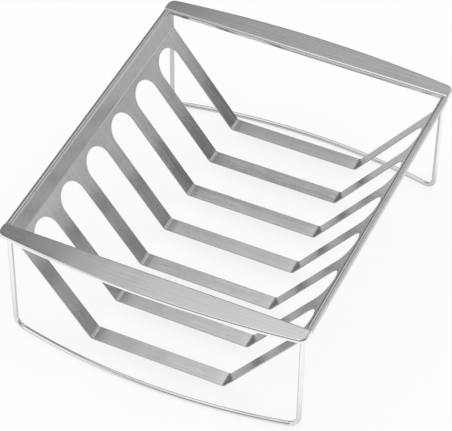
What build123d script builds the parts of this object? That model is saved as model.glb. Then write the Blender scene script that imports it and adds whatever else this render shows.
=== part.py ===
"""Roasting rack: a slotted sheet trough between two handles, on two bent wire feet.

The rack is five pieces of stainless steel, welded into one rigid object:

    trough        one folded sheet with six slots and a rolled lip on each long side
    front_handle  a pressed plate with a turned-down rim, across the trough's front end
    rear_handle   the same plate, turned round, across the rear end
    front_foot    one bent wire, from under one end of the front handle to the other
    rear_foot     the same wire, turned round, under the rear handle

Millimetres. X runs along the handles, Y along the trough and Z up. The origin is on
the table under the middle of the rack.
"""
from build123d import *
import math
import os

# Sheet of the trough and the handles
SHEET = 1.0

# Trough, measured on its inner face
FLOOR_WIDTH = 116.0
FLOOR_CLEARANCE = 10.5
SLOPE_ANGLE = 53.3
SLOPE_LENGTH = 104.5
WALL_HEIGHT = 17.2
WALL_LEAN = 12.5
FLOOR_BEND_RADIUS = 3.0
FOLD_RADIUS = 4.0

# Rolled lip along the top of each wall
LIP_RADIUS = 3.0
LIP_HEM = 2.0

# Slots across the trough, and the slats left between them
SLOT_COUNT = 6
SLOT_WIDTH = 30.6
SLAT_WIDTH = 14.0
SLOT_END_MARGIN = 5.0

# Handles
HANDLE_OVERHANG = 0.3
HANDLE_END_WIDTH = 13.8
HANDLE_BOW = 8.7
HANDLE_CORNER_RADIUS = 7.0
HANDLE_INNER_CORNER_EASE = 0.4
HANDLE_PRESS_RADIUS = 0.8
OUTER_RIM_DEPTH = 3.0
INNER_RIM_DROP = 1.4

# Wire feet
WIRE_DIAMETER = 4.0
LEG_INSET = 6.0
FOOT_CORNER_RADIUS = 9.0
FOOT_BOW = 14.4

# Corners of the trough's section that follow from those above
SLOPE = math.radians(SLOPE_ANGLE)
LEAN = math.radians(WALL_LEAN)
BEND_X = FLOOR_WIDTH / 2
FLOOR_Z = FLOOR_CLEARANCE + SHEET
FOLD_X = BEND_X + SLOPE_LENGTH * math.cos(SLOPE)
FOLD_Z = FLOOR_Z + SLOPE_LENGTH * math.sin(SLOPE)
TOP_Z = FOLD_Z + WALL_HEIGHT
WALL_TOP_Z = TOP_Z - LIP_RADIUS * (1 - math.sin(LEAN))
WALL_TOP_X = FOLD_X + (WALL_TOP_Z - FOLD_Z) * math.tan(LEAN)
LIP_OUTER_X = WALL_TOP_X + LIP_RADIUS * (1 + math.cos(LEAN))

# Other sizes that follow
SLOT_PITCH = SLOT_WIDTH + SLAT_WIDTH
TROUGH_LENGTH = SLOT_COUNT * SLOT_PITCH + SLAT_WIDTH
HANDLE_FACE_Y = TROUGH_LENGTH / 2
HANDLE_LENGTH = 2 * (LIP_OUTER_X + HANDLE_OVERHANG)
HANDLE_EDGE_RADIUS = HANDLE_PRESS_RADIUS + SHEET
HANDLE_INNER_CORNER_RADIUS = HANDLE_EDGE_RADIUS + HANDLE_INNER_CORNER_EASE
HANDLE_HOLLOW_CHAMFER = HANDLE_PRESS_RADIUS * (2 - math.sqrt(2))
INNER_RIM_DEPTH = OUTER_RIM_DEPTH + INNER_RIM_DROP
WIRE_RADIUS = WIRE_DIAMETER / 2
LEG_X = HANDLE_LENGTH / 2 - LEG_INSET
LEG_Y = HANDLE_FACE_Y + HANDLE_EDGE_RADIUS + WIRE_RADIUS
LEG_TOP_Z = TOP_Z - SHEET
FOOT_TURN = 2 * math.atan(FOOT_BOW / (LEG_X + FOOT_CORNER_RADIUS))


def trough_section():
    """Face of the folded sheet, from one lip's hem across the floor to the other."""
    half = [(BEND_X, FLOOR_Z), (FOLD_X, FOLD_Z), (WALL_TOP_X, WALL_TOP_Z)]
    mirrored = [(-x, z) for x, z in reversed(half)]
    bends = [FOLD_RADIUS, FLOOR_BEND_RADIUS, FLOOR_BEND_RADIUS, FOLD_RADIUS]
    run = FilletPolyline(*mirrored, *half, radius=bends)
    roll = 180 - WALL_LEAN
    right_lip = JernArc(run @ 1, run % 1, LIP_RADIUS, -roll)
    left_lip = JernArc(run @ 0, (run % 0) * -1, LIP_RADIUS, roll)
    right_hem = Line(right_lip @ 1, (right_lip @ 1) - Vector(0, LIP_HEM))
    left_hem = Line(left_lip @ 1, (left_lip @ 1) - Vector(0, LIP_HEM))
    inner_face = Wire([left_hem, left_lip, *run.edges(), right_lip, right_hem])
    return make_face(offset(inner_face, amount=SHEET, side=Side.LEFT, closed=True))


def slot_cutter():
    """Solid that opens one slot: across the floor and up both slopes to a round end."""
    reach = SLOPE_LENGTH - SLOT_END_MARGIN
    end_radius = SLOT_WIDTH / 2
    depth = 4 * SHEET
    overlap = FLOOR_BEND_RADIUS
    straight = reach - end_radius + overlap
    outline = Pos(straight / 2 - overlap, 0) * Rectangle(straight, SLOT_WIDTH)
    outline += Pos(reach - end_radius, 0) * Circle(end_radius)
    slope_plane = Plane(
        origin=(BEND_X, 0, FLOOR_Z),
        x_dir=(math.cos(SLOPE), 0, math.sin(SLOPE)),
        z_dir=(-math.sin(SLOPE), 0, math.cos(SLOPE)),
    )
    slope = extrude(slope_plane * outline, depth, both=True)
    floor = Pos(0, 0, FLOOR_Z) * Box(FLOOR_WIDTH, SLOT_WIDTH, 2 * depth)
    return floor + slope + mirror(slope, about=Plane.YZ)


def trough():
    """Folded sheet with its slots, the same front to back and side to side."""
    sheet = extrude(Plane.XZ * trough_section(), TROUGH_LENGTH / 2, both=True)
    cutter = slot_cutter()
    for index in range(SLOT_COUNT):
        y = (index - (SLOT_COUNT - 1) / 2) * SLOT_PITCH
        sheet -= Pos(0, y, 0) * cutter
    return sheet


def handle():
    """Rear handle: plate with a straight inner edge, a bowed outer edge and a rim."""
    half = HANDLE_LENGTH / 2
    inner_y = HANDLE_FACE_Y
    end_y = inner_y + HANDLE_END_WIDTH
    outline = Wire([
        Line((-half, end_y), (-half, inner_y)),
        Line((-half, inner_y), (half, inner_y)),
        Line((half, inner_y), (half, end_y)),
        ThreePointArc((half, end_y), (0, end_y + HANDLE_BOW), (-half, end_y)),
    ])
    plan = make_face(outline)
    by_depth = plan.vertices().group_by(Axis.Y)
    plan = fillet(by_depth[-1], HANDLE_CORNER_RADIUS)
    plan = fillet(plan.vertices().group_by(Axis.Y)[0], HANDLE_INNER_CORNER_RADIUS)
    block = Pos(0, 0, TOP_Z - INNER_RIM_DEPTH) * extrude(plan, INNER_RIM_DEPTH)
    block = fillet(block.faces().sort_by(Axis.Z)[-1].edges(), HANDLE_EDGE_RADIUS)
    hollow = extrude(offset(plan, amount=-SHEET), INNER_RIM_DEPTH - SHEET)
    hollow = chamfer(hollow.faces().sort_by(Axis.Z)[-1].edges(), HANDLE_HOLLOW_CHAMFER)
    shell = block - Pos(0, 0, TOP_Z - INNER_RIM_DEPTH) * hollow
    width = HANDLE_END_WIDTH + HANDLE_BOW
    trim = Pos(0, inner_y + SHEET + width / 2, TOP_Z - INNER_RIM_DEPTH)
    return shell - trim * Box(HANDLE_LENGTH, width, 2 * INNER_RIM_DROP)


def foot_corner(side):
    """Arc from a leg into the bottom run, upright and turned outward by FOOT_TURN."""
    def point(angle):
        along = FOOT_CORNER_RADIUS * (1 - math.cos(angle))
        drop = FOOT_CORNER_RADIUS * math.sin(angle)
        x = side * (LEG_X - along * math.cos(FOOT_TURN))
        y = LEG_Y + along * math.sin(FOOT_TURN)
        return Vector(x, y, WIRE_RADIUS + FOOT_CORNER_RADIUS - drop)
    return ThreePointArc(point(0), point(math.pi / 4), point(math.pi / 2))


def foot():
    """Rear foot: round wire, down one leg, out along a bowed run and up the other."""
    left = foot_corner(-1)
    right = foot_corner(1)
    run = ThreePointArc(left @ 1, (0, LEG_Y + FOOT_BOW, WIRE_RADIUS), right @ 1)
    left_leg = Line((-LEG_X, LEG_Y, LEG_TOP_Z), left @ 0)
    right_leg = Line(right @ 0, (LEG_X, LEG_Y, LEG_TOP_Z))
    path = Wire([left_leg, left, run, right, right_leg])
    section = Plane(origin=path @ 0, x_dir=(1, 0, 0), z_dir=path % 0) * Circle(WIRE_RADIUS)
    return sweep(section, path=path)


def turned_round(shape):
    """The same shape at the rack's other end."""
    return Rot(0, 0, 180) * shape


def main():
    os.makedirs("parts", exist_ok=True)
    rear_handle = handle()
    rear_foot = foot()
    nodes = {
        "trough": trough(),
        "front_handle": turned_round(rear_handle),
        "rear_handle": rear_handle,
        "front_foot": turned_round(rear_foot),
        "rear_foot": rear_foot,
    }
    for name, shape in nodes.items():
        export_step(shape, f"parts/{name}.step")


main()
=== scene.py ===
# %% [markdown]
# A roasting rack in brushed and polished steel
#
# The rack is a slotted trough of folded sheet between two pressed handles, and it stands on two
# bent wires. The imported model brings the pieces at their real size. This lesson rebuilds the
# sheet, the handles and the wires with finer edges, and gives each its finish.
#
# Everything is in metres. X runs along the handles, Y along the trough, and Z is up.

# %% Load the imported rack
import math
import bpy
from mathutils import Matrix, Vector


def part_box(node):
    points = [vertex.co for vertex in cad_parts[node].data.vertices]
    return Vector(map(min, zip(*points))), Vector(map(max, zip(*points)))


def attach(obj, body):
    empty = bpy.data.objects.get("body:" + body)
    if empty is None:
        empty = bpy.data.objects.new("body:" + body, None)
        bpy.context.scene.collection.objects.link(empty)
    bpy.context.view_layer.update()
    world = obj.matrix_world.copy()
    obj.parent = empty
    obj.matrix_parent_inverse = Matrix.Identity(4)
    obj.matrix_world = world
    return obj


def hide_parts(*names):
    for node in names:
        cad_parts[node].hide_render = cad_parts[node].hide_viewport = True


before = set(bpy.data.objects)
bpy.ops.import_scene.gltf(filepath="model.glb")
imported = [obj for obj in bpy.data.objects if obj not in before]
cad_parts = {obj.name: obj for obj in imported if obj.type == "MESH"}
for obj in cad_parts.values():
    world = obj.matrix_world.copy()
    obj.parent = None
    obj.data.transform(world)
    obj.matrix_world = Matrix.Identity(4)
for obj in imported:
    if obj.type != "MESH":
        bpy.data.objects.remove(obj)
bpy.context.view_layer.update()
print("nodes:", sorted(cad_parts))

# %% [markdown]
# Sizes
#
# A folded sheet is described by a few driving sizes: how wide its floor is, how steep and how
# long its slopes are, how far its walls lean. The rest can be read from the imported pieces, so
# it is measured here and not typed twice.

# %% Driving sizes of the sheet, the handles and the wires
MM = 0.001
SHEET = 1.0 * MM
FLOOR_WIDTH = 116.0 * MM
SLOPE_ANGLE = math.radians(53.3)
SLOPE_LENGTH = 104.5 * MM
WALL_LEAN = math.radians(12.5)
FLOOR_BEND_RADIUS = 3.0 * MM
FOLD_RADIUS = 4.0 * MM
LIP_RADIUS = 3.0 * MM
LIP_HEM = 2.0 * MM
SLOT_WIDTH = 30.6 * MM
SLAT_WIDTH = 14.0 * MM
SLOT_END_MARGIN = 5.0 * MM
HANDLE_BOW = 8.7 * MM
HANDLE_CORNER_RADIUS = 7.0 * MM
HANDLE_INNER_CORNER_RADIUS = 2.2 * MM
HANDLE_EDGE_RADIUS = 1.8 * MM
OUTER_RIM_DEPTH = 3.0 * MM
WIRE_RADIUS = 2.0 * MM
LEG_INSET = 6.0 * MM
FOOT_CORNER_RADIUS = 9.0 * MM
FOOT_BOW = 14.4 * MM
EDGE_EASE = 0.15 * MM
print("sheet:", SHEET, "wire:", 2 * WIRE_RADIUS)

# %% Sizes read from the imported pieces
trough_low, trough_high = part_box("trough")
handle_low, handle_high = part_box("rear_handle")
TROUGH_LENGTH = trough_high.y - trough_low.y
FLOOR_Z = trough_low.z + SHEET
TOP_Z = trough_high.z
SLOT_PITCH = SLOT_WIDTH + SLAT_WIDTH
SLAT_COUNT = round((TROUGH_LENGTH - SLAT_WIDTH) / SLOT_PITCH) + 1
HANDLE_HALF = handle_high.x
HANDLE_FACE_Y = handle_low.y
HANDLE_END_Y = handle_high.y - HANDLE_BOW
INNER_RIM_DEPTH = handle_high.z - handle_low.z
LEG_X = HANDLE_HALF - LEG_INSET
LEG_Y = HANDLE_FACE_Y + HANDLE_EDGE_RADIUS + WIRE_RADIUS
print("slats:", SLAT_COUNT, "trough length:", round(TROUGH_LENGTH, 4))

# %% [markdown]
# Node trees written as expressions
#
# Materials, the world and Geometry Nodes are all node trees. Wiring them by hand takes a line
# per link. Here one small class wraps a socket, so that Python's own operators add the Math
# nodes, and another adds any other node with its settings and inputs.

# %% A socket that does arithmetic
class Value:
    """An output socket. Arithmetic on it adds Math nodes to its graph."""

    def __init__(self, graph, socket):
        self.graph = graph
        self.socket = socket

    def out(self, name):
        found = [s for s in self.socket.node.outputs if s.name == name and s.enabled]
        return Value(self.graph, found[0])

    def math(self, operation, *others):
        inputs = dict(enumerate((self, *others)))
        return self.graph.node("ShaderNodeMath", {"operation": operation}, inputs)

    def __add__(self, other):
        return self.math("ADD", other)

    __radd__ = __add__

    def __mul__(self, other):
        return self.math("MULTIPLY", other)

    __rmul__ = __mul__

    def __sub__(self, other):
        return self.math("SUBTRACT", other)

    def __rsub__(self, other):
        return (self * -1.0) + other

    def __truediv__(self, other):
        return self.math("DIVIDE", other)

    def __abs__(self):
        return self.math("ABSOLUTE")


print("a socket now takes + - * / and abs")

# %% A graph that adds nodes
class Graph:
    """A node tree, with one method that adds a node, its settings and its inputs."""

    def __init__(self, tree):
        self.tree = tree
        tree.nodes.clear()

    def node(self, kind, settings=None, inputs=None):
        made = self.tree.nodes.new(kind)
        for name, setting in (settings or {}).items():
            setattr(made, name, setting)
        for key, value in (inputs or {}).items():
            self.feed(made, key, value)
        shown = [s for s in made.outputs if s.enabled]
        return Value(self, shown[0]) if shown else made

    def feed(self, node, key, value):
        if isinstance(key, int):
            socket = node.inputs[key]
        else:
            socket = next(s for s in node.inputs if s.name == key and s.enabled)
        if isinstance(value, Value):
            self.tree.links.new(value.socket, socket)
        else:
            socket.default_value = value


def ramp(graph, value, start, end):
    """Number that goes smoothly from 0 at the start to 1 at the end."""
    settings = {"interpolation_type": "SMOOTHSTEP"}
    inputs = {"Value": value, "From Min": start, "From Max": end}
    return graph.node("ShaderNodeMapRange", settings, inputs)


print("graphs and smooth ramps ready")

# %% [markdown]
# Camera
#
# The photograph looks down on the rack from its front right with a long lens, so the handles
# stay nearly parallel. A camera can be moved about by hand until the picture fits, but it is
# easier to correct when it is set by what a photographer would say: which corner it stands at,
# how high, how far away, and what it is aimed at.

# %% Camera at the photograph's viewing angle
CAMERA_AZIMUTH = math.radians(24.12)
CAMERA_ELEVATION = math.radians(45.63)
CAMERA_ROLL = math.radians(0.97)
CAMERA_DISTANCE = 1.913
CAMERA_AIM = Vector((-0.0183, 0.0292, 0.0115))
CAMERA_LENS = 181.5

back = Vector((
    math.sin(CAMERA_AZIMUTH) * math.cos(CAMERA_ELEVATION),
    -math.cos(CAMERA_AZIMUTH) * math.cos(CAMERA_ELEVATION),
    math.sin(CAMERA_ELEVATION),
))
level = Vector((math.cos(CAMERA_AZIMUTH), math.sin(CAMERA_AZIMUTH), 0))
upward = back.cross(level)
right = level * math.cos(CAMERA_ROLL) + upward * math.sin(CAMERA_ROLL)
turned = Matrix((right, back.cross(right), back)).transposed()
camera = bpy.data.objects.new("camera", bpy.data.cameras.new("camera"))
camera.data.lens = CAMERA_LENS
camera.matrix_world = Matrix.Translation(CAMERA_AIM + back * CAMERA_DISTANCE) @ turned.to_4x4()
bpy.context.scene.collection.objects.link(camera)
bpy.context.scene.camera = camera
print("camera at:", [round(value, 3) for value in camera.matrix_world.translation])

# %% [markdown]
# Studio
#
# Bare steel has no colour of its own: it shows what stands around it. Lamps alone would leave
# it black between their glints, so a metal object is lit by choosing what it can see. Here that
# is a table whose glow in the steel is painted light in front and on the right and painted shade
# under and behind the rack, a dim room with a glow at its front left, a long soft light on the
# ceiling, and two soft lights that stand on the far right and the near left. The camera sees
# none of this, only a white table with a soft shadow.

# %% The room: dark at the horizon, grey above it, with a glow at its front left
HORIZON_GREY = 0.12
HORIZON_BAND = math.radians(11)
WALL_GREY = 0.29
FRONT_LEFT = (-0.8, -0.45, 0.4)
FRONT_LEFT_GLOW = 0.56
# Cosines of the angles off its middle where the glow ends and where it is full
GLOW_ENDS = 0.75
GLOW_FULL = 0.90

world = bpy.data.worlds.new("studio")
bpy.context.scene.world = world
world.use_nodes = True
studio = Graph(world.node_tree)
direction = studio.node("ShaderNodeTexCoord").out("Generated")
height = studio.node("ShaderNodeSeparateXYZ", inputs={"Vector": direction}).out("Z")
cosine = studio.node(
    "ShaderNodeVectorMath", {"operation": "DOT_PRODUCT"}, {0: direction, 1: FRONT_LEFT}
)
wall = WALL_GREY + FRONT_LEFT_GLOW * ramp(studio, cosine, GLOW_ENDS, GLOW_FULL)
above_horizon = ramp(studio, height, 0.0, math.sin(HORIZON_BAND))
room = HORIZON_GREY + (wall - HORIZON_GREY) * above_horizon
metal_sees = studio.node("ShaderNodeLightPath").out("Is Glossy Ray")
background = studio.node("ShaderNodeBackground", inputs={
    "Color": (1.0, 1.0, 1.0, 1.0),
    "Strength": metal_sees * room + (1 - metal_sees),
})
studio.node("ShaderNodeOutputWorld", inputs={"Surface": background})
bpy.context.scene.view_settings.view_transform = "Standard"
print("world nodes:", len(world.node_tree.nodes))

# %% The table's top
TABLE_HALF = 3.0

table_mesh = bpy.data.meshes.new("table")
corners = [(-TABLE_HALF, -TABLE_HALF, 0), (TABLE_HALF, -TABLE_HALF, 0)]
corners += [(TABLE_HALF, TABLE_HALF, 0), (-TABLE_HALF, TABLE_HALF, 0)]
table_mesh.from_pydata(corners, [], [(0, 1, 2, 3)])
table = bpy.data.objects.new("table", table_mesh)
bpy.context.scene.collection.objects.link(table)
print("table half width:", TABLE_HALF)

# %% The table's paint: white to the camera, and in the steel painted light in front and on the right, painted shade elsewhere
TABLE_GREY = 0.98
PAINTED_LIGHT_IN_STEEL = 0.97
PAINTED_SHADE_IN_STEEL = 0.50
# Places along Y and along X between which the table's painted shade turns to painted light in
# the steel
FRONT_PAINTED_LIGHT_RAMP = (-0.11, -0.20)
RIGHT_PAINTED_LIGHT_RAMP = (0.12, 0.16)
# Share of the rack's shadow that the camera sees, and that the steel sees
SHADOW_SEEN = 0.22
SHADOW_IN_STEEL = 0.25

table_paint = bpy.data.materials.new("table_paint")
table_paint.use_nodes = True
paint = Graph(table_paint.node_tree)
paint_rays = paint.node("ShaderNodeLightPath")
in_steel = paint_rays.out("Is Glossy Ray")
seen = paint_rays.out("Is Camera Ray").math("MAXIMUM", paint_rays.out("Is Transmission Ray"))
share = seen * (1 - SHADOW_SEEN) + in_steel * (1 - SHADOW_IN_STEEL)
on_table = paint.node("ShaderNodeTexCoord").out("Object")
axes = paint.node("ShaderNodeSeparateXYZ", inputs={"Vector": on_table})
# Painted light and shade: in the steel the table glows brightest in front and on the right, and
# dimmer, as painted shade, under and behind the rack
in_front = ramp(paint, axes.out("Y"), *FRONT_PAINTED_LIGHT_RAMP)
on_the_right = ramp(paint, axes.out("X"), *RIGHT_PAINTED_LIGHT_RAMP)
painted_light_mask = in_front.math("MAXIMUM", on_the_right)
glow = PAINTED_SHADE_IN_STEEL + (PAINTED_LIGHT_IN_STEEL - PAINTED_SHADE_IN_STEEL) * painted_light_mask
matt = paint.node("ShaderNodeBsdfDiffuse", inputs={"Color": (TABLE_GREY,) * 3 + (1,)})
white = paint.node("ShaderNodeEmission", inputs={"Strength": seen + in_steel * glow})
shown = paint.node("ShaderNodeMixShader", inputs={0: share, 1: matt, 2: white})
paint.node("ShaderNodeOutputMaterial", inputs={"Surface": shown})
table_mesh.materials.append(table_paint)
print("paint nodes:", len(table_paint.node_tree.nodes))

# %% A soft light: its glow, which fades towards the edges
def panel_glow(name, size, half, soft, strength, hot_side):
    """Material for a soft light, with one end brighter where it has a hot side."""
    glow = bpy.data.materials.new(name)
    glow.use_nodes = True
    graph = Graph(glow.node_tree)
    place = graph.node("ShaderNodeTexCoord").out("Object")
    axes = graph.node("ShaderNodeSeparateXYZ", inputs={"Vector": place})

    def fade(axis, number):
        return ramp(graph, abs(axes.out(axis)), half[number], half[number] - soft[number])

    level = graph.node("ShaderNodeMapRange", inputs={
        "Value": axes.out("X"),
        "From Min": -size[0] / 2,
        "From Max": size[0] / 2,
        "To Min": strength * (1 - hot_side),
        "To Max": strength,
    })
    light = graph.node("ShaderNodeEmission", inputs={"Strength": level})
    clear = graph.node("ShaderNodeBsdfTransparent")
    shape = fade("X", 0) * fade("Y", 1)
    both = graph.node("ShaderNodeMixShader", inputs={0: shape, 1: clear, 2: light})
    graph.node("ShaderNodeOutputMaterial", inputs={"Surface": both})
    return glow


print("soft glow ready")

# %% A soft light: its panel
def soft_light(name, middle, across, up, size, soft, strength, hot_side=0.0):
    """Glowing panel with soft edges, which only metal sees.

    Across and up are the directions of its sides, size is its width and height, and soft is
    how wide the fade is at each pair of edges. A hot side makes one end brighter.
    """
    across = Vector(across).normalized()
    up = Vector(up).normalized()
    turned = Matrix((across, up, across.cross(up))).transposed()
    half = [size[axis] / 2 + soft[axis] / 2 for axis in (0, 1)]
    mesh = bpy.data.meshes.new(name)
    corners = [(-half[0], -half[1], 0), (half[0], -half[1], 0)]
    corners += [(half[0], half[1], 0), (-half[0], half[1], 0)]
    mesh.from_pydata(corners, [], [(0, 1, 2, 3)])
    panel = bpy.data.objects.new(name, mesh)
    panel.matrix_world = Matrix.Translation(middle) @ turned.to_4x4()
    bpy.context.scene.collection.objects.link(panel)
    panel.visible_camera = False
    panel.visible_shadow = False
    panel.visible_diffuse = False
    mesh.materials.append(panel_glow(name, size, half, soft, strength, hot_side))
    print(name, "size:", size, "strength:", strength)


print("soft panels ready")

# %% The three soft lights
CEILING_TURN = math.radians(8)
soft_light(
    "ceiling_light", middle=(-0.211, 0.284, 1.5),
    across=(math.cos(CEILING_TURN), math.sin(CEILING_TURN), 0),
    up=(-math.sin(CEILING_TURN), math.cos(CEILING_TURN), 0),
    size=(0.78, 2.65), soft=(0.03, 1.3), strength=1.213, hot_side=0.289,
)
soft_light(
    "far_right_light", middle=(0.46, 0.40, 0.42), across=(0.638, -0.767, 0), up=(0, 0, 1),
    size=(1.2, 0.58), soft=(0.2, 0.02), strength=0.72,
)
soft_light(
    "near_left_light", middle=(-1.0, -0.85, 0.85), across=(0.6, -0.7, 0), up=(0, 0, 1),
    size=(0.9, 0.8), soft=(0.2, 0.2), strength=1.0,
)

# %% [markdown]
# Brushed steel
#
# The sheet was drawn under an abrasive belt before it was cut, which leaves fine straight
# scratches along the slats and along the handles. A noise stretched along the brushing gives
# scratches of uneven length, where a ruled pattern would repeat. It moves the colour a little,
# the roughness more, and the normal across the grain, which smears each reflection sideways as
# real brushing does. A second, much slower noise is the faint unevenness that folding and
# pressing leave in thin sheet. The trough's floor also dips a little just before each fold, and
# the same bump shows that.

# %% Noise drawn out along the brushing
def stretched_noise(graph, place, per_metre, detail):
    """Noise with so many grains to the metre along X, Y and Z."""
    spread = graph.node(
        "ShaderNodeVectorMath", {"operation": "MULTIPLY"}, {0: place, 1: per_metre}
    )
    inputs = {"Vector": spread, "Scale": 1.0, "Detail": detail, "Roughness": 0.6}
    return graph.node("ShaderNodeTexNoise", inputs=inputs)


def mixed(graph, factor, first, second):
    """Colour between two, as a Mix node."""
    settings = {"data_type": "RGBA"}
    return graph.node("ShaderNodeMix", settings, {"Factor": factor, "A": first, "B": second})


print("noise and colour helpers ready")

# %% A material for brushed steel
STEEL_DARK = (0.46, 0.46, 0.465, 1.0)
STEEL_LIGHT = (0.76, 0.76, 0.768, 1.0)
SCRATCHES_PER_METRE = (18.0, 1900.0, 1900.0)
BELT_MARKS_PER_METRE = (6.0, 170.0, 170.0)
SCRATCH_SHARE = 0.65
BELT_MARK_SHARE = 0.35
BRUSHED_ROUGHNESS = 0.08
GRAIN_ROUGHNESS = 0.1
FOLD_DIP = 0.24 * MM
FOLD_DIP_REACH = 4.8 * MM


def brushed_steel(name, coordinates, grain_depth, waves_per_metre, wave_depth, fold_at=None):
    """Steel brushed along the first axis of its coordinates, dipped a little along two folds."""
    material = bpy.data.materials.new(name)
    material.use_nodes = True
    graph = Graph(material.node_tree)
    place = graph.node("ShaderNodeTexCoord").out(coordinates)
    scratches = stretched_noise(graph, place, SCRATCHES_PER_METRE, 3.0)
    belt_marks = stretched_noise(graph, place, BELT_MARKS_PER_METRE, 2.0)
    grain = scratches * SCRATCH_SHARE + belt_marks * BELT_MARK_SHARE
    height = stretched_noise(graph, place, waves_per_metre, 1.0) * wave_depth
    if fold_at:
        along_grain = graph.node("ShaderNodeSeparateXYZ", inputs={"Vector": place}).out("X")
        before_fold = ((abs(along_grain) - fold_at) / FOLD_DIP_REACH).math("MINIMUM", 0.0)
        height = height - (before_fold * before_fold * -1.0).math("EXPONENT") * FOLD_DIP
    fine = graph.node(
        "ShaderNodeBump", inputs={"Strength": 1.0, "Distance": grain_depth, "Height": grain}
    )
    bump = graph.node("ShaderNodeBump", inputs={
        "Strength": 1.0,
        "Distance": 1.0,
        "Height": height,
        "Normal": fine,
    })
    shader = graph.node("ShaderNodeBsdfPrincipled", inputs={
        "Base Color": mixed(graph, grain, STEEL_DARK, STEEL_LIGHT),
        "Metallic": 1.0,
        "Roughness": BRUSHED_ROUGHNESS + GRAIN_ROUGHNESS * grain,
        "Normal": bump,
    })
    graph.node("ShaderNodeOutputMaterial", inputs={"Surface": shader})
    return material


print("brushing, in grains to the metre:", SCRATCHES_PER_METRE, BELT_MARKS_PER_METRE)

# %% Brushed finishes of the handles and of the sheet
handle_steel = brushed_steel(
    "steel_brushed_handle", "Object", grain_depth=0.08 * MM,
    waves_per_metre=(20.0, 12.0, 12.0), wave_depth=0.4 * MM,
)
sheet_steel = brushed_steel(
    "steel_brushed_sheet", "UV", grain_depth=0.13 * MM,
    waves_per_metre=(22.0, 5.0, 5.0), wave_depth=0.6 * MM, fold_at=FLOOR_WIDTH / 2,
)
print("brushed finishes:", handle_steel.name, sheet_steel.name)

# %% [markdown]
# Polished steel
#
# The wires and the turned-down rims are polished. A mirror with no faults looks like a
# drawing, so the polish keeps faint cloudy marks in its roughness. A bump would bend the
# reflections too, and on so thin a wire that looks like a dent.

# %% A material for polished steel
POLISH_TINT = (0.95, 0.95, 0.955, 1.0)
CLOUDS_PER_METRE = 240.0
POLISH_ROUGHNESS = 0.07
CLOUD_ROUGHNESS = 0.08

polish = bpy.data.materials.new("steel_polished")
polish.use_nodes = True
polishing = Graph(polish.node_tree)
on_steel = polishing.node("ShaderNodeTexCoord").out("Object")
clouds = polishing.node("ShaderNodeTexNoise", inputs={
    "Vector": on_steel,
    "Scale": CLOUDS_PER_METRE,
    "Detail": 2.0,
})
mirror_steel = polishing.node("ShaderNodeBsdfPrincipled", inputs={
    "Base Color": POLISH_TINT,
    "Metallic": 1.0,
    "Roughness": POLISH_ROUGHNESS + CLOUD_ROUGHNESS * clouds,
})
polishing.node("ShaderNodeOutputMaterial", inputs={"Surface": mirror_steel})
print("polished finish:", polish.name)

# %% [markdown]
# Turning a made shape into a plain piece
#
# Node trees and modifiers stay adjustable while a shape is being designed. For the finished
# model each shape becomes a plain mesh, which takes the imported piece's place.

# %% Helpers that start and finish a piece
def new_piece(name, points, edges, faces):
    mesh = bpy.data.meshes.new(name)
    mesh.from_pydata(points, edges, faces)
    piece = bpy.data.objects.new(name, mesh)
    bpy.context.scene.collection.objects.link(piece)
    return piece


def keep_faces_flat(piece):
    """Let the broad faces rule the shading, so that narrow edges don't bend it."""
    shade = piece.modifiers.new("flat_faces", "WEIGHTED_NORMAL")
    shade.keep_sharp = True


def hand_over(piece, node):
    """Bake a piece's modifiers into its mesh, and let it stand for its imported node."""
    depsgraph = bpy.context.evaluated_depsgraph_get()
    shaped = piece.evaluated_get(depsgraph)
    plain = bpy.data.meshes.new_from_object(
        shaped, preserve_all_data_layers=True, depsgraph=depsgraph
    )
    unused = [index for index, finish in enumerate(plain.materials) if finish is None]
    for index in reversed(unused):
        plain.materials.pop(index=index)
    piece.modifiers.clear()
    piece.data = plain
    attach(piece, "root")
    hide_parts(node)
    print(piece.name, "faces:", len(plain.polygons))


print("piece helpers ready")

# %% [markdown]
# The folded trough
#
# The real trough is one blank of sheet. Its slots are punched while it is flat, then it is
# folded over a bar, and the long edges are rolled into lips. It could be made by cutting slots
# out of a folded strip, but such cuts leave ragged faces on the bends. The shop's own order
# works better: a line that follows the folds is swept sideways into seven slats, and each slat
# grows wider where a slot ends, until it meets its neighbour. Geometry Nodes suit this, because
# one rule gives the width of every slat at every point along the fold line.

# %% Helpers for arcs and for points on the slope
slope_along = (math.cos(SLOPE_ANGLE), math.sin(SLOPE_ANGLE))
bend_x = FLOOR_WIDTH / 2


def arc(centre, radius, start, end, steps):
    """Points of an arc in a plane between two angles in radians."""
    angles = [start + (end - start) * step / steps for step in range(steps + 1)]
    return [(centre[0] + radius * math.cos(a), centre[1] + radius * math.sin(a)) for a in angles]


def on_slope(distance):
    """Point on the right slope, measured from its corner with the floor."""
    return (bend_x + distance * slope_along[0], FLOOR_Z + distance * slope_along[1])


print("slope from:", [round(value, 4) for value in on_slope(0)])

# %% The lower half of the fold line: floor bend and slot end
FLOOR_BEND_STEPS = 8
SLOT_END_STEPS = 16

bend_setback = FLOOR_BEND_RADIUS * math.tan(SLOPE_ANGLE / 2)
floor_bend = arc(
    (bend_x - bend_setback, FLOOR_Z + FLOOR_BEND_RADIUS),
    FLOOR_BEND_RADIUS, -math.pi / 2, SLOPE_ANGLE - math.pi / 2, FLOOR_BEND_STEPS,
)
slot_radius = SLOT_WIDTH / 2
slot_straight = SLOPE_LENGTH - SLOT_END_MARGIN - slot_radius
slot_end = []
for step in range(SLOT_END_STEPS + 1):
    angle = math.pi / 2 * step / SLOT_END_STEPS
    slot_end.append(on_slope(slot_straight + slot_radius * math.sin(angle)))
print("points on the bend and the slot end:", len(floor_bend) + len(slot_end))

# %% The upper half of the fold line: fold, wall, lip and hem
FOLD_STEPS = 5
LIP_STEPS = 20

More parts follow.
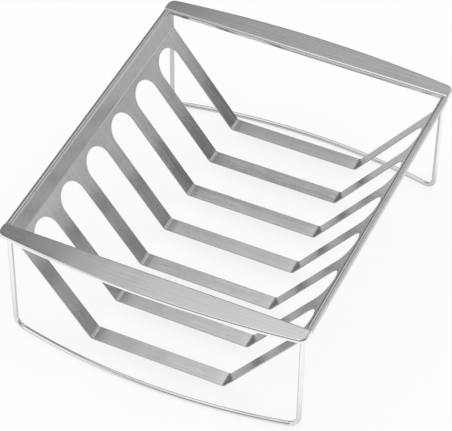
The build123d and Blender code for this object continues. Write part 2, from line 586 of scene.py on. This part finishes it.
fold_turn = math.pi / 2 - WALL_LEAN - SLOPE_ANGLE
fold_setback = FOLD_RADIUS * math.tan(fold_turn / 2)
fold_start = on_slope(SLOPE_LENGTH - fold_setback)
fold_centre = (
    fold_start[0] - FOLD_RADIUS * slope_along[1],
    fold_start[1] + FOLD_RADIUS * slope_along[0],
)
fold = arc(fold_centre, FOLD_RADIUS, SLOPE_ANGLE - math.pi / 2, -WALL_LEAN, FOLD_STEPS)

fold_x, fold_z = on_slope(SLOPE_LENGTH)
wall_top_z = TOP_Z - LIP_RADIUS * (1 - math.sin(WALL_LEAN))
wall_top_x = fold_x + (wall_top_z - fold_z) * math.tan(WALL_LEAN)
lip_centre = (
    wall_top_x + LIP_RADIUS * math.cos(WALL_LEAN),
    wall_top_z - LIP_RADIUS * math.sin(WALL_LEAN),
)
lip = arc(lip_centre, LIP_RADIUS, math.pi - WALL_LEAN, 0, LIP_STEPS)
hem = [(lip[-1][0], lip[-1][1] - LIP_HEM)]
right_half = floor_bend + slot_end + fold + lip + hem
print("points on half of the fold line:", len(right_half))

# %% Distance along the fold line from its middle
distances = []
travelled = bend_x - bend_setback
previous = right_half[0]
for point in right_half:
    travelled += math.dist(previous, point)
    distances.append(travelled)
    previous = point
slot_begins_to_close = distances[len(floor_bend)]
print("slots close from:", round(slot_begins_to_close, 4), "of", round(distances[-1], 4))

# %% Helpers for a geometry tree and its named inputs
def new_tree(name, numbers):
    """Geometry tree that takes and gives a shape, with a named input for each number."""
    tree = bpy.data.node_groups.new(name, "GeometryNodeTree")
    tree.is_modifier = True
    tree.interface.new_socket("Shape", in_out="INPUT", socket_type="NodeSocketGeometry")
    for label, kind in numbers.items():
        tree.interface.new_socket(label, in_out="INPUT", socket_type=kind)
    tree.interface.new_socket("Shape", in_out="OUTPUT", socket_type="NodeSocketGeometry")
    return tree


def add_tree(piece, tree, values):
    """Put a node tree on a piece, with its named inputs set by their identifiers."""
    shaping = piece.modifiers.new(tree.name, "NODES")
    shaping.node_group = tree
    for item in tree.interface.items_tree:
        if item.in_out == "INPUT" and item.name in values:
            shaping[item.identifier] = values[item.name]


print("tree helpers ready")

# %% Helpers for attributes and positions in a tree
def stored(graph, shape, name, data_type, value, domain="POINT"):
    settings = {"data_type": data_type, "domain": domain}
    inputs = {"Geometry": shape, "Name": name, "Value": value}
    return graph.node("GeometryNodeStoreNamedAttribute", settings, inputs)


def recalled(graph, name, data_type):
    settings = {"data_type": data_type}
    return graph.node("GeometryNodeInputNamedAttribute", settings, {"Name": name})


def separated(graph, vector):
    return graph.node("ShaderNodeSeparateXYZ", inputs={"Vector": vector})


def combined(graph, x, y, z):
    return graph.node("ShaderNodeCombineXYZ", inputs={"X": x, "Y": y, "Z": z})


print("attribute helpers ready")

# %% Slat tree: its inputs
slats = new_tree("slotted_sheet", {
    "Slats": "NodeSocketInt",
    "Pitch": "NodeSocketFloat",
    "Slot Radius": "NodeSocketFloat",
    "Slot Closes At": "NodeSocketFloat",
    "Length": "NodeSocketFloat",
    "Finish": "NodeSocketMaterial",
})
sheet = Graph(slats)
given = sheet.node("NodeGroupInput")
pitch = given.out("Pitch")
slot_r = given.out("Slot Radius")
print("inputs of the slat tree:", [item.name for item in slats.interface.items_tree])

# %% Slat tree: sweep the fold line sideways into a strip of even width
spine = sheet.node("GeometryNodeMeshToCurve", inputs={"Mesh": given.out("Shape")})
spine = stored(sheet, spine, "spine", "FLOAT_VECTOR", sheet.node("GeometryNodeInputPosition"))
across = sheet.node(
    "GeometryNodeCurvePrimitiveLine", inputs={"Start": (-1.0, 0, 0), "End": (1.0, 0, 0)}
)
across = sheet.node("GeometryNodeResampleCurve", inputs={"Curve": across, "Count": 3})
place_across = separated(sheet, sheet.node("GeometryNodeInputPosition")).out("X")
across = stored(sheet, across, "across", "FLOAT", place_across)
strip = sheet.node(
    "GeometryNodeCurveToMesh", inputs={"Curve": spine, "Profile Curve": across}
)
print("nodes so far:", len(slats.nodes))

# %% Slat tree: give the strip its width, which grows where the slot closes in a half circle
along = recalled(sheet, "along", "FLOAT")
into_end = ((abs(along) - given.out("Slot Closes At")) / slot_r).math("MAXIMUM", 0.0)
half_slot = slot_r * (1.0 - into_end * into_end).math("MAXIMUM", 0.0).math("SQRT")
half_width = pitch * 0.5 - half_slot
spine_place = separated(sheet, recalled(sheet, "spine", "FLOAT_VECTOR"))
strip = sheet.node("GeometryNodeSetPosition", inputs={
    "Geometry": strip,
    "Position": combined(
        sheet,
        spine_place.out("X"),
        recalled(sheet, "across", "FLOAT") * half_width,
        spine_place.out("Z"),
    ),
})
print("nodes so far:", len(slats.nodes))

# %% Slat tree: set the slats in a row, trim the two ends and join what meets
JOIN_DISTANCE = 0.04 * MM

first_slat = (given.out("Slats") - 1.0) * pitch * -0.5
row = sheet.node("GeometryNodeMeshLine", inputs={
    "Count": given.out("Slats"),
    "Start Location": combined(sheet, 0.0, first_slat, 0.0),
    "Offset": combined(sheet, 0.0, pitch, 0.0),
})
slat_row = sheet.node("GeometryNodeInstanceOnPoints", inputs={"Points": row, "Instance": strip})
joined = sheet.node("GeometryNodeRealizeInstances", inputs={"Geometry": slat_row})
joined = sheet.node("GeometryNodeFlipFaces", inputs={"Mesh": joined})
place = separated(sheet, sheet.node("GeometryNodeInputPosition"))
end = given.out("Length") * 0.5
trimmed_y = place.out("Y").math("MINIMUM", end).math("MAXIMUM", end * -1.0)
joined = sheet.node("GeometryNodeSetPosition", inputs={
    "Geometry": joined,
    "Position": combined(sheet, place.out("X"), trimmed_y, place.out("Z")),
})
joined = sheet.node("GeometryNodeMergeByDistance", inputs={
    "Geometry": joined,
    "Distance": JOIN_DISTANCE,
})
print("nodes so far:", len(slats.nodes))

# %% Slat tree: lay the grain along the flat blank, and give the sheet its finish
final_y = separated(sheet, sheet.node("GeometryNodeInputPosition")).out("Y")
flat_place = combined(sheet, along, final_y, 0.0)
joined = stored(sheet, joined, "UVMap", "FLOAT2", flat_place, "CORNER")
joined = sheet.node("GeometryNodeSetShadeSmooth", inputs={"Geometry": joined})
whole = sheet.node("GeometryNodeRealizeInstances", inputs={"Geometry": joined})
whole = sheet.node(
    "GeometryNodeSetMaterial", inputs={"Geometry": whole, "Material": given.out("Finish")}
)
sheet.node("NodeGroupOutput", inputs={"Shape": whole})
print("nodes in the slat tree:", len(slats.nodes))

# %% The trough's fold line, with the distance along it at each point
left_half = [(-x, z) for x, z in reversed(right_half)]
fold_points = [(x, 0, z) for x, z in left_half + right_half]
fold_edges = [(index, index + 1) for index in range(len(fold_points) - 1)]
trough = new_piece("trough_sheet", fold_points, fold_edges, [])
signed = [-distance for distance in reversed(distances)] + distances
measure = trough.data.attributes.new("along", "FLOAT", "POINT")
measure.data.foreach_set("value", signed)
print("points on the whole fold line:", len(fold_points))

# %% Sweep, thicken and soften the trough
SHARP_FROM = math.radians(50)

add_tree(trough, slats, {
    "Slats": SLAT_COUNT,
    "Pitch": SLOT_PITCH,
    "Slot Radius": slot_radius,
    "Slot Closes At": slot_begins_to_close,
    "Length": TROUGH_LENGTH,
    "Finish": sheet_steel,
})
thicken = trough.modifiers.new("sheet", "SOLIDIFY")
thicken.thickness = SHEET
thicken.offset = -1
thicken.use_even_offset = True
soften = trough.modifiers.new("cut_edges", "BEVEL")
soften.width = EDGE_EASE
soften.segments = 2
soften.limit_method = "ANGLE"
soften.angle_limit = SHARP_FROM
keep_faces_flat(trough)
hand_over(trough, "trough")

# %% [markdown]
# The pressed handles
#
# Each handle is a blank pressed over a form, so its edge turns down in a small radius and
# leaves a rim. A flat plate with Solidify and Bevel comes close, but it can't give a rim that
# is deeper on one side. So the shell is a stack of closed loops. Every loop is the same
# outline, moved inwards by some distance and set at some height, and the outline is worked out
# once, with its outward direction at each point.

# %% Centres and turns of the rear handle's outline
bow_radius = (HANDLE_HALF ** 2 + HANDLE_BOW ** 2) / (2 * HANDLE_BOW)
bow_centre_y = HANDLE_END_Y + HANDLE_BOW - bow_radius
corner_x = HANDLE_HALF - HANDLE_CORNER_RADIUS
reach = bow_radius - HANDLE_CORNER_RADIUS
corner_y = bow_centre_y + math.sqrt(reach ** 2 - corner_x ** 2)
corner_turn = math.atan2(corner_y - bow_centre_y, corner_x)
inner_x = HANDLE_HALF - HANDLE_INNER_CORNER_RADIUS
inner_y = HANDLE_FACE_Y + HANDLE_INNER_CORNER_RADIUS
print("radius of the bow:", round(bow_radius, 3))

# %% Outline of the rear handle with its outward directions
INNER_CORNER_STEPS = 8
CORNER_STEPS = 12
BOW_STEPS = 48

outline = []


def trace(centre_x, centre_y, radius, start, end, steps, rim_start, rim_end):
    """Add an arc's points, directions and rim depths to the outline."""
    for step in range(steps + 1):
        share = step / steps
        angle = start + (end - start) * share
        facing = Vector((math.cos(angle), math.sin(angle), 0))
        rim = rim_start + (rim_end - rim_start) * share
        outline.append((Vector((centre_x, centre_y, 0)) + facing * radius, facing, rim))


quarter = math.pi / 2
half_turn = 2 * quarter
deep = INNER_RIM_DEPTH
shallow = OUTER_RIM_DEPTH
bow_step = (half_turn - 2 * corner_turn) / BOW_STEPS
trace(
    inner_x, inner_y, HANDLE_INNER_CORNER_RADIUS,
    -quarter, 0, INNER_CORNER_STEPS, deep, shallow,
)
trace(
    corner_x, corner_y, HANDLE_CORNER_RADIUS,
    0, corner_turn, CORNER_STEPS, shallow, shallow,
)
trace(
    0, bow_centre_y, bow_radius,
    corner_turn + bow_step, half_turn - corner_turn - bow_step, BOW_STEPS - 2, shallow, shallow,
)
trace(
    -corner_x, corner_y, HANDLE_CORNER_RADIUS,
    half_turn - corner_turn, half_turn, CORNER_STEPS, shallow, shallow,
)
trace(
    -inner_x, inner_y, HANDLE_INNER_CORNER_RADIUS,
    half_turn, 3 * quarter, INNER_CORNER_STEPS, shallow, deep,
)
print("points round the handle:", len(outline))

# %% Loops of the handle, from its hollow underside round the rim to its top
PRESS_STEPS = 8

# Each loop is its inset, its height, and 1 where that height is measured from the rim's foot
loops = []
inner_radius = HANDLE_EDGE_RADIUS - SHEET
for step in range(PRESS_STEPS, -1, -1):
    angle = quarter * step / PRESS_STEPS
    inset = SHEET + inner_radius * (1 - math.cos(angle))
    loops.append((inset, TOP_Z - HANDLE_EDGE_RADIUS + inner_radius * math.sin(angle), 0))
eased = EDGE_EASE * (1 - math.sqrt(0.5))
loops += [
    (SHEET, EDGE_EASE, 1),
    (SHEET - eased, eased, 1),
    (SHEET - EDGE_EASE, 0, 1),
    (EDGE_EASE, 0, 1),
    (eased, eased, 1),
    (0, EDGE_EASE, 1),
]
for step in range(PRESS_STEPS + 1):
    angle = quarter * step / PRESS_STEPS
    inset = HANDLE_EDGE_RADIUS * (1 - math.cos(angle))
    loops.append((inset, TOP_Z - HANDLE_EDGE_RADIUS * (1 - math.sin(angle)), 0))
print("loops of the handle:", len(loops))

# %% Skin between the loops, closed on top and below
handle_points = []
for inset, height, from_rim in loops:
    for point, facing, rim in outline:
        lifted = point - facing * inset
        lifted.z = height + (TOP_Z - rim) * from_rim
        handle_points.append(lifted)
around = len(outline)
handle_faces = []
for low in range(len(loops) - 1):
    for index in range(around):
        after = (index + 1) % around
        handle_faces.append((
            low * around + index, low * around + after,
            (low + 1) * around + after, (low + 1) * around + index,
        ))
last = (len(loops) - 1) * around
handle_faces.append(tuple(range(last, last + around)))
handle_faces.append(tuple(range(around - 1, -1, -1)))
rear_handle = new_piece("rear_handle_plate", handle_points, [], handle_faces)
print("faces of the handle:", len(handle_faces))

# %% Brushed top and underside, polished rim, and the same handle turned round
LIES_FLAT = 0.9


def opposite(piece, name):
    """The same piece at the rack's other end, turned half round about Z."""
    mesh = piece.data.copy()
    mesh.transform(Matrix.Rotation(math.pi, 4, "Z"))
    twin = bpy.data.objects.new(name, mesh)
    bpy.context.scene.collection.objects.link(twin)
    return twin


rear_handle.data.materials.append(handle_steel)
rear_handle.data.materials.append(polish)
rear_handle.data.update()
for face in rear_handle.data.polygons:
    face.use_smooth = True
    face.material_index = 1 if abs(face.normal.z) < LIES_FLAT else 0
front_handle = opposite(rear_handle, "front_handle_plate")
for plate, node in ((rear_handle, "rear_handle"), (front_handle, "front_handle")):
    keep_faces_flat(plate)
    hand_over(plate, node)

# %% [markdown]
# The bent wires
#
# Each foot is one length of round wire, bent twice to a radius of about two wire thicknesses
# and bowed outwards between the bends. A bevelled curve would look the same. Here the path is
# drawn first, and a node tree puts a round section along it, which keeps the wire's radius and
# its number of sides as inputs.

# %% Corner of the rear foot
FOOT_CORNER_STEPS = 14
foot_turn = 2 * math.atan(FOOT_BOW / (LEG_X + FOOT_CORNER_RADIUS))


def foot_corner(side):
    """Points from a leg down into the bottom run, turned outward as the bow begins."""
    points = []
    for step in range(FOOT_CORNER_STEPS + 1):
        angle = quarter * step / FOOT_CORNER_STEPS
        inwards = FOOT_CORNER_RADIUS * (1 - math.cos(angle))
        x = side * (LEG_X - inwards * math.cos(foot_turn))
        y = LEG_Y + inwards * math.sin(foot_turn)
        z = WIRE_RADIUS + FOOT_CORNER_RADIUS * (1 - math.sin(angle))
        points.append((x, y, z))
    return points


left_corner = foot_corner(-1)
right_corner = foot_corner(1)
print("corner turns outwards by:", round(math.degrees(foot_turn), 1), "degrees")

# %% Middle line of the rear foot
FOOT_RUN_STEPS = 60

run_half = -left_corner[-1][0]
run_rise = LEG_Y + FOOT_BOW - left_corner[-1][1]
run_radius = (run_half ** 2 + run_rise ** 2) / (2 * run_rise)
run_centre = (0, LEG_Y + FOOT_BOW - run_radius)
run_turn = math.asin(run_half / run_radius)
run = arc(run_centre, run_radius, quarter + run_turn, quarter - run_turn, FOOT_RUN_STEPS)
leg_top = TOP_Z - SHEET
foot_line = [(-LEG_X, LEG_Y, leg_top)] + left_corner
foot_line += [(x, y, WIRE_RADIUS) for x, y in run[1:-1]]
foot_line += list(reversed(right_corner)) + [(LEG_X, LEG_Y, leg_top)]
print("points on the wire:", len(foot_line), "run radius:", round(run_radius, 3))

# %% Node tree that puts a round section along a line
wire_tree = new_tree("round_wire", {
    "Radius": "NodeSocketFloat",
    "Sides": "NodeSocketInt",
    "Finish": "NodeSocketMaterial",
})
wire = Graph(wire_tree)
wanted = wire.node("NodeGroupInput")
middle = wire.node("GeometryNodeMeshToCurve", inputs={"Mesh": wanted.out("Shape")})
section = wire.node("GeometryNodeCurvePrimitiveCircle", inputs={
    "Resolution": wanted.out("Sides"),
    "Radius": wanted.out("Radius"),
})
round_wire = wire.node("GeometryNodeCurveToMesh", inputs={
    "Curve": middle,
    "Profile Curve": section,
    "Fill Caps": True,
})
round_wire = wire.node("GeometryNodeRealizeInstances", inputs={"Geometry": round_wire})
round_wire = wire.node(
    "GeometryNodeSetMaterial", inputs={"Geometry": round_wire, "Material": wanted.out("Finish")}
)
wire.node("NodeGroupOutput", inputs={"Shape": round_wire})
print("nodes in the wire tree:", len(wire_tree.nodes))

# %% Both feet
WIRE_SIDES = 32

foot_edges = [(index, index + 1) for index in range(len(foot_line) - 1)]
rear_foot = new_piece("rear_foot_wire", foot_line, foot_edges, [])
front_foot = opposite(rear_foot, "front_foot_wire")
for foot, node in ((rear_foot, "rear_foot"), (front_foot, "front_foot")):
    add_tree(foot, wire_tree, {"Radius": WIRE_RADIUS, "Sides": WIRE_SIDES, "Finish": polish})
    hand_over(foot, node)
